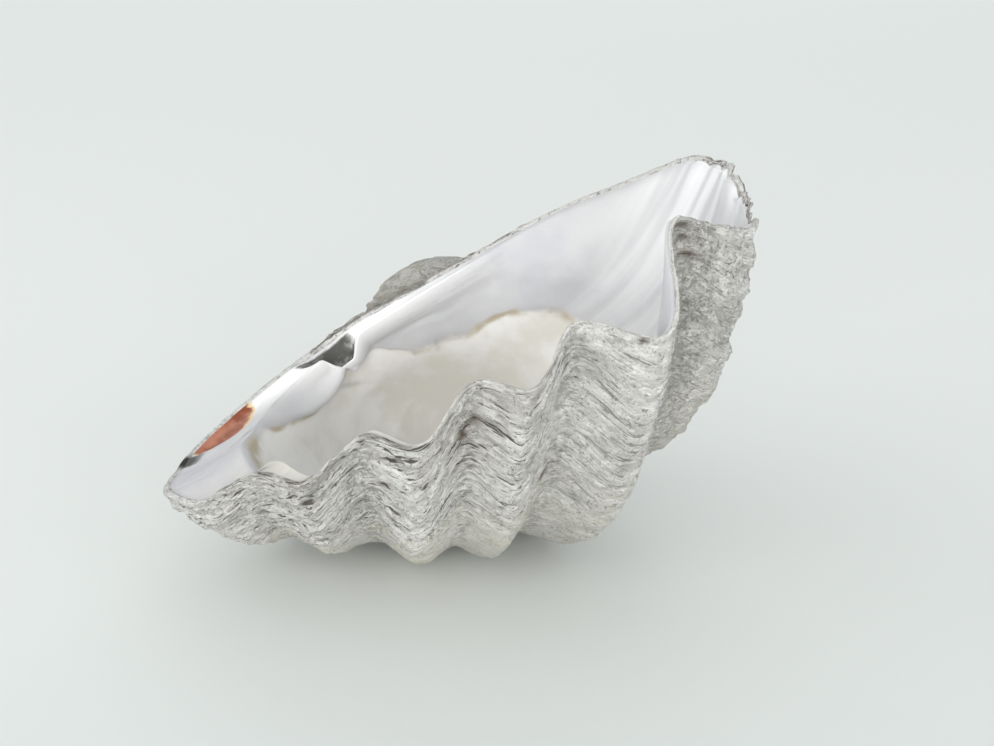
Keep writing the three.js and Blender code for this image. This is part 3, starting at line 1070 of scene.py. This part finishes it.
def rolled_grid(bm, rows, columns):
    """Makes a flat grid, and gives the row and the column of each of its vertices."""
    bmesh.ops.create_grid(
        bm, x_segments=columns - 1, y_segments=rows - 1, size=1.0, calc_uvs=False
    )
    bm.verts.ensure_lookup_table()
    spots = np.array([v.co for v in bm.verts])
    column = np.rint((spots[:, 0] + 1) / 2 * (columns - 1)).astype(int)
    row = np.rint((spots[:, 1] + 1) / 2 * (rows - 1)).astype(int)
    return row, column


def vertex_marks(around, turn, zone, sunk):
    """Numbers that the materials read at every vertex, by attribute name."""
    outside, lip, plate, bowl = (zone == each for each in (OUTSIDE, LIP, PLATE, BOWL))
    scar = smooth_step(-0.03, 0.2, ligament_reach(around) - np.where(plate, turn, 0)) * plate
    scar = np.maximum(scar, smooth_step(0.0, 0.2, ligament_reach(around)) * lip)
    tip = band(TIP_BAND, around) * np.where(plate, 1 - smooth_step(*TIP_FADES, turn), lip)
    pit_shadow_walls = band(PIT_SHADOW_BAND, around) * plate * (1 - smooth_step(*PIT_SHADOW_FADES, turn))
    spots = np.where(outside, marks_at(OUTER_MARKS, around, turn), 0)
    spots += np.where(bowl, BOWL_MARK_STRENGTH * marks_at(BOWL_MARKS, around, turn), 0)
    spots += np.where(plate, PLATE_MARK_STRENGTH * marks_at(PLATE_MARKS, around, turn), 0)
    crust = crusted(around)
    tall = band(TALL_BAND, around)
    hinge = smooth_step(*WHITE_COMES, around) + 1 - smooth_step(*WHITE_GOES, around)
    return {
        "turn": np.where(outside, turn, 0),
        "sunk": sunk,
        "crest": np.where(outside, fold_size(around, 1) / CREST_SIZE, 0),
        "crust": np.where(outside, crust * np.exp(-turn / CRUST_REACH), crust * lip),
        "spongy": np.where(outside, porous(around), 0),
        "hinge": hinge * np.where(bowl, np.exp(-turn / WHITE_REACH), plate),
        "gap": np.where(bowl, below_mantle_line(around, turn), -1),
        "tall": tall * np.where(bowl, np.exp(-turn / TALL_REACH), plate),
        "ligament": scar,
        # Painted shadow over the pit's walls, with the grey of the beak seen in it, and the real dark
        # tip of the scar.
        "pit_shadow_and_dark_tip": np.maximum(pit_shadow_walls, tip),
        "spot": np.clip(spots, 0, 1),
        # Painted shadow inside the near free edge; the same mask also dulls it.
        "near": plate * band(NEAR_BAND, around),
    }


def build_valve(sizes, colours):
    """Rolls the rows of the valve into one closed mesh with its marks and its two finishes."""
    points, around, turn, zone, sunk = valve_rows(sizes)
    rows, columns = around.shape
    bm = bmesh.new()
    row, column = rolled_grid(bm, rows, columns)
    placed = (settled(points) - frame_offset()) * MM
    placed[..., 2] = np.maximum(placed[..., 2], 0)
    marks = vertex_marks(around, turn, zone, sunk)
    layers = {name: bm.verts.layers.float.new(name) for name in marks}
    growth_layer = bm.verts.layers.float_vector.new("growth")
    level = np.where(zone == OUTSIDE, growth_level(around, turn), np.where(zone == PLATE, 0, turn))
    spaces = growth_space(around, level)[row, column].tolist()
    spots = placed[row, column].tolist()
    values = {name: field[row, column].tolist() for name, field in marks.items()}
    for i, vertex in enumerate(bm.verts):
        vertex.co = spots[i]
        vertex[growth_layer] = spaces[i]
        for name, layer in layers.items():
            vertex[layer] = values[name][i]
    zones = zone[row, column].tolist()
    for face in bm.faces:
        inner = max(zones[loop.vert.index] for loop in face.loops) > LIP
        face.material_index = 1 if inner else 0
        face.smooth = True
    bmesh.ops.remove_doubles(bm, verts=bm.verts[:], dist=WELD)
    bmesh.ops.recalc_face_normals(bm, faces=bm.faces[:])
    mesh = bpy.data.meshes.new("valve")
    bm.to_mesh(mesh)
    bm.free()
    valve = bpy.data.objects.new("valve", mesh)
    bpy.context.scene.collection.objects.link(valve)
    groups = {"mottle": mottle_group(), "specks": speck_group(), "streaks": streak_group()}
    mesh.materials.append(chalk_material(colours, groups))
    mesh.materials.append(pearl_material(colours, groups))
    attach(valve, "root")
    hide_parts(CAD_NODE)


# ---- settings, operators and panel ----------------------------------------------------------


def colour_setting(name, description, default):
    return bpy.props.FloatVectorProperty(
        name=name, description=description, default=default, subtype="COLOR", min=0, max=1
    )


def length_setting(name, description, default):
    return bpy.props.FloatProperty(
        name=name, description=description, default=default, min=0, unit="LENGTH"
    )


class ClamSizes(bpy.types.PropertyGroup):
    """Sizes of the finer shape."""

    layer_stand: length_setting("Layer stand", "How far the growth layers stand out", 0.0014)
    layer_depth: bpy.props.FloatProperty(
        name="Layer depth",
        description="Depth of the growth layers, 1 as grown",
        default=1.0,
        min=0,
        max=1,
    )
    lip_rise: length_setting("Lip rise", "Height of the rounded lip", 0.0012)
    flute_height: length_setting("Flute height", "Flutes inside the tall end", 0.0006)
    tooth_height: length_setting("Tooth height", "Ridge under the hinge", 0.006)


class ClamColours(bpy.types.PropertyGroup):
    """Colours of the valve and of its stage."""

    chalk: colour_setting("Chalk", "Outside near the edge", (0.93, 0.92, 0.89))
    # Also used as a painted highlight on the raised grain.
    pale: colour_setting("Pale chalk", "Paler clouds on the outside", (0.97, 0.965, 0.95))
    cream: colour_setting("Cream", "Outside towards the bottom", (0.95, 0.91, 0.79))
    # Random greenish tinge, and greenish-grey painted shadow in the grooves.
    mossy_tint_and_groove_shadow: colour_setting("Mossy grey", "Greenish tinge in the grooves", (0.76, 0.75, 0.66))
    # Painted shadow in the hollows, grooves and gaps between the layers; also the grey cast of the
    # old beak.
    crevice_shadow_and_beak_grey: colour_setting("Crevice", "Between the growth layers", (0.45, 0.44, 0.41))
    # Partly painted shadow in the gaps between the growth layers.
    streak: colour_setting("Streak", "Dark growth lines", (0.15, 0.137, 0.117))
    brown: colour_setting("Brown", "Dirt in the small holes", (0.13, 0.095, 0.065))
    pearl: colour_setting("Pearl", "Upper inside", (0.52, 0.523, 0.535))
    lavender: colour_setting("Lavender", "Shaded clouds inside", (0.47, 0.474, 0.505))
    flute: colour_setting("Flute", "White bands at the tall end", (0.8, 0.81, 0.825))
    hinge: colour_setting("Hinge white", "Plate and bowl below the hinge", (0.94, 0.945, 0.95))
    bowl: colour_setting("Bowl", "Duller part of the bowl", (0.79, 0.785, 0.77))
    bowl_warm: colour_setting("Warm bowl", "Beige clouds in the bowl", (0.7, 0.68, 0.63))
    # Painted shadow on the inside of the near free edge.
    near_rim_shadow: colour_setting("Near rim", "Inside of the free edge", (0.5, 0.49, 0.455))
    mantle_line: colour_setting("Mantle line", "Brown line in the bowl", (0.42, 0.36, 0.24))
    ligament: colour_setting("Ligament", "Terracotta scar", (0.22, 0.055, 0.022))
    ligament_pale: colour_setting("Pale ligament", "Worn part", (0.4, 0.16, 0.1))
    ochre: colour_setting("Ochre", "Border of the scar", (0.66, 0.53, 0.32))
    # Painted shadow of the hinge pit; also the real dark tip of the scar.
    pit: colour_setting("Pit", "Dark of the hinge pit and tip", (0.06, 0.06, 0.056))
    umbo: colour_setting("Umbo grey", "Bare grey in the hinge pit", (0.25, 0.25, 0.238))
    # Painted shadow darkening the floor nearest the viewer.
    floor_front_shadow: colour_setting("Floor front", "Floor nearest the viewer", (0.57, 0.605, 0.605))
    floor: colour_setting("Floor", "Pale studio floor", (0.72, 0.75, 0.74))


class CLAM_OT_valve(bpy.types.Operator):
    """Model the valve with its folds, growth ridges, lip and bowl"""

    bl_idname = "clam.valve"
    bl_label = "Valve"

    def execute(self, context):
        scene = context.scene
        build_valve(scene.clam_sizes, scene.clam_colours)
        return {"FINISHED"}


class CLAM_OT_stage(bpy.types.Operator):
    """Lay the pale floor and set the lights and the camera"""

    bl_idname = "clam.stage"
    bl_label = "Stage"

    def execute(self, context):
        build_stage(context.scene, context.scene.clam_colours)
        return {"FINISHED"}


class CLAM_PT_panel(bpy.types.Panel):
    """Lists the pieces and their settings"""

    bl_idname = "CLAM_PT_panel"
    bl_label = "Clam valve"
    bl_space_type = "VIEW_3D"
    bl_region_type = "UI"
    bl_category = "Clam"

    def draw(self, context):
        column = self.layout.column()
        for settings in (context.scene.clam_sizes, context.scene.clam_colours):
            for name in settings.__annotations__:
                column.prop(settings, name)
        column.operator(CLAM_OT_valve.bl_idname)
        column.operator(CLAM_OT_stage.bl_idname)


# ---- stage ----------------------------------------------------------------------------------

FLOOR_HALF = 12.0
SKY_COLOUR = (0.98, 1.0, 1.0, 1.0)
SKY_STRENGTH = 0.68
WARM_WHITE = (1.0, 0.985, 0.95)
# Area lights: place and target in metres, width and height in metres, watts, colour.
LIGHTS = {
    "key": ((-1.8, -0.2, 1.5), (0, 0, 0.08), (1.6, 1.6), 6, (1.0, 0.985, 0.96)),
    "front": ((-1.0, -4.0, 2.0), (0, 0, 0.06), (5.0, 3.0), 62, WARM_WHITE),
    "low": ((0.6, -5.0, 0.9), (0, 0, 0.06), (5.0, 1.4), 200, WARM_WHITE),
    "left": ((-3.8, -1.8, 0.8), (0, 0, 0.06), (2.5, 1.0), 48, WARM_WHITE),
    "right": ((3.8, -2.2, 0.9), (0, 0, 0.1), (2.5, 1.0), 42, WARM_WHITE),
    "back": ((0, 4.0, 2.4), (0, 0.8, 0), (5.0, 2.5), 42, (0.98, 1.0, 1.0)),
}
CAMERA_PLACE = (0.0227, -0.8864, 0.3767)
CAMERA_TILT = math.radians(90 - 17.6)
LENS_MM = 70
SENSOR_MM = 36
CLIP_END = 50


def add_light(name, place, target, size, power, colour):
    data = bpy.data.lights.new(name, "AREA")
    data.shape = "RECTANGLE"
    data.size, data.size_y = size
    data.energy = power
    data.color = colour
    light = bpy.data.objects.new(name, data)
    light.location = place
    light.rotation_euler = (Vector(target) - Vector(place)).to_track_quat("-Z", "Y").to_euler()
    bpy.context.scene.collection.objects.link(light)


def build_stage(scene, colours):
    """Lays the floor and sets the sky, the lights and the camera."""
    bm = bmesh.new()
    bmesh.ops.create_grid(bm, x_segments=1, y_segments=1, size=FLOOR_HALF)
    mesh = bpy.data.meshes.new("floor")
    bm.to_mesh(mesh)
    bm.free()
    floor = bpy.data.objects.new("floor", mesh)
    scene.collection.objects.link(floor)
    mesh.materials.append(floor_material(colours))
    scene.view_settings.view_transform = "Standard"
    world = bpy.data.worlds.new("studio")
    scene.world = world
    world.use_nodes = True
    sky = world.node_tree.nodes["Background"]
    sky.inputs[0].default_value = SKY_COLOUR
    sky.inputs[1].default_value = SKY_STRENGTH
    for name, settings in LIGHTS.items():
        add_light(name, *settings)
    data = bpy.data.cameras.new("camera")
    data.lens = LENS_MM
    data.sensor_width = SENSOR_MM
    data.clip_end = CLIP_END
    camera = bpy.data.objects.new("camera", data)
    camera.location = CAMERA_PLACE
    camera.rotation_euler = (CAMERA_TILT, 0, 0)
    scene.collection.objects.link(camera)
    scene.camera = camera


CLASSES = (ClamSizes, ClamColours, CLAM_OT_valve, CLAM_OT_stage, CLAM_PT_panel)


def register():
    for cls in CLASSES:
        bpy.utils.register_class(cls)
    bpy.types.Scene.clam_sizes = bpy.props.PointerProperty(type=ClamSizes)
    bpy.types.Scene.clam_colours = bpy.props.PointerProperty(type=ClamColours)


def unregister():
    del bpy.types.Scene.clam_colours
    del bpy.types.Scene.clam_sizes
    for cls in reversed(CLASSES):
        bpy.utils.unregister_class(cls)


def main():
    register()
    bpy.ops.clam.valve()
    bpy.ops.clam.stage()


if __name__ == "__main__":
    main()
